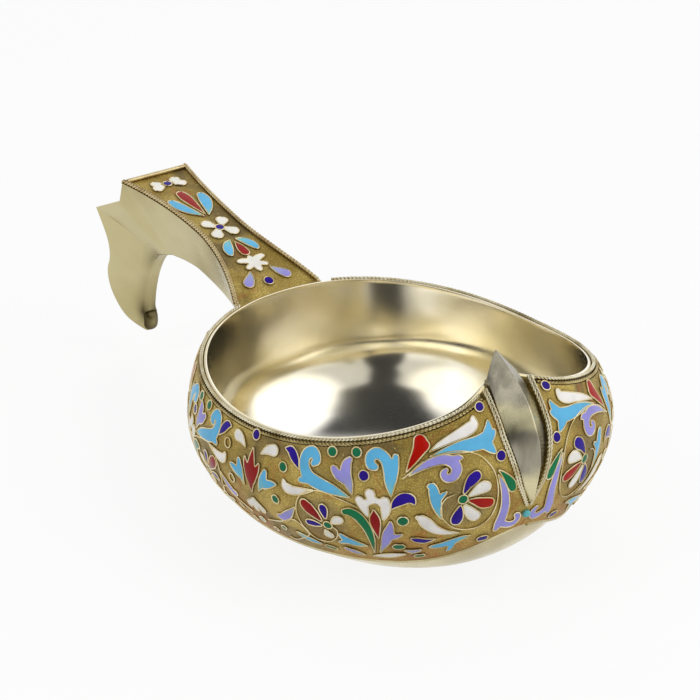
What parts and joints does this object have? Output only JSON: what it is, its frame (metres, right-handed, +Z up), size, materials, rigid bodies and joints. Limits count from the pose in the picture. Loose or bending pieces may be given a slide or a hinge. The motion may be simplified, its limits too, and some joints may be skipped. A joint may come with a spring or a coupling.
{
  "type": "kovsh",
  "caption": "Boat-shaped drinking ladle with a cloisonne enamel band, a wedge prow and a hooked handle with an enamelled top.",
  "frame": {"origin": "on the table, in the flat base, under the middle of the round bowl", "axes": "+X to the prow, +Y to port, +Z up"},
  "size_m": [0.1342, 0.074, 0.0441],
  "materials": {
    "gilt_silver": "pale satin gilding on silver, polished inside the bowl",
    "silver": "bare silver, polished and scratched",
    "gilt_ground": "matte stippled gilding between the cells",
    "twisted_wire": "twisted gilt wire, worn",
    "turquoise_enamel": "glossy opaque enamel",
    "white_enamel": "glossy opaque enamel",
    "red_enamel": "glossy enamel",
    "cobalt_enamel": "glossy enamel",
    "lavender_enamel": "glossy opaque enamel"
  },
  "bodies": {
    "root": {"bowl_shell": "gilt_silver", "border_wire_port": "gilt_silver", "border_wire_starboard": "gilt_silver", "handle_end_plate": "gilt_silver", "handle_back_plate": "gilt_silver", "handle_keel_strip": "gilt_silver", "handle_end_wire": "gilt_silver", "handle_side_port": "gilt_silver", "handle_side_starboard": "gilt_silver", "prow_wedge": "silver", "enamel_band_port": "gilt_ground", "enamel_band_starboard": "gilt_ground", "handle_top_plate": "gilt_ground", "rim_rope_port": "twisted_wire", "rim_rope_starboard": "twisted_wire", "lower_rope_port": "twisted_wire", "lower_rope_starboard": "twisted_wire", "prow_rope_inner_port": "twisted_wire", "prow_rope_inner_starboard": "twisted_wire", "prow_rope_outer_port": "twisted_wire", "prow_rope_outer_starboard": "twisted_wire", "handle_rope_port": "twisted_wire", "handle_rope_starboard": "twisted_wire", "prow_bead": "turquoise_enamel", "leaf_turquoise_fore_port": "turquoise_enamel", "leaf_turquoise_fore_starboard": "turquoise_enamel", "leaf_turquoise_low_port": "turquoise_enamel", "leaf_turquoise_low_starboard": "turquoise_enamel", "scroll_turquoise_port": "turquoise_enamel", "scroll_turquoise_starboard": "turquoise_enamel", "tulip_leaf_port": "turquoise_enamel", "tulip_leaf_starboard": "turquoise_enamel", "sprig_leaf_port": "turquoise_enamel", "sprig_leaf_starboard": "turquoise_enamel", "leaf_white_fore_port": "white_enamel", "leaf_white_fore_starboard": "white_enamel", "rosette_fore_port": "white_enamel", "rosette_fore_starboard": "white_enamel", "trefoil_white_port": "white_enamel", "trefoil_white_starboard": "white_enamel", "bud_white_port": "white_enamel", "bud_white_starboard": "white_enamel", "panel_flower": "white_enamel", "leaf_red_fore_port": "red_enamel", "leaf_red_fore_starboard": "red_enamel", "tulip_red_port": "red_enamel", "tulip_red_starboard": "red_enamel", "tulip_heart": "red_enamel", "sprig_heart": "red_enamel", "rosette_mid_port": "cobalt_enamel", "rosette_mid_starboard": "cobalt_enamel", "panel_dot": "cobalt_enamel", "leaf_lavender_aft_port": "lavender_enamel", "leaf_lavender_aft_starboard": "lavender_enamel", "drop_lavender_port": "lavender_enamel", "drop_lavender_starboard": "lavender_enamel"}
  },
  "joints": []
}
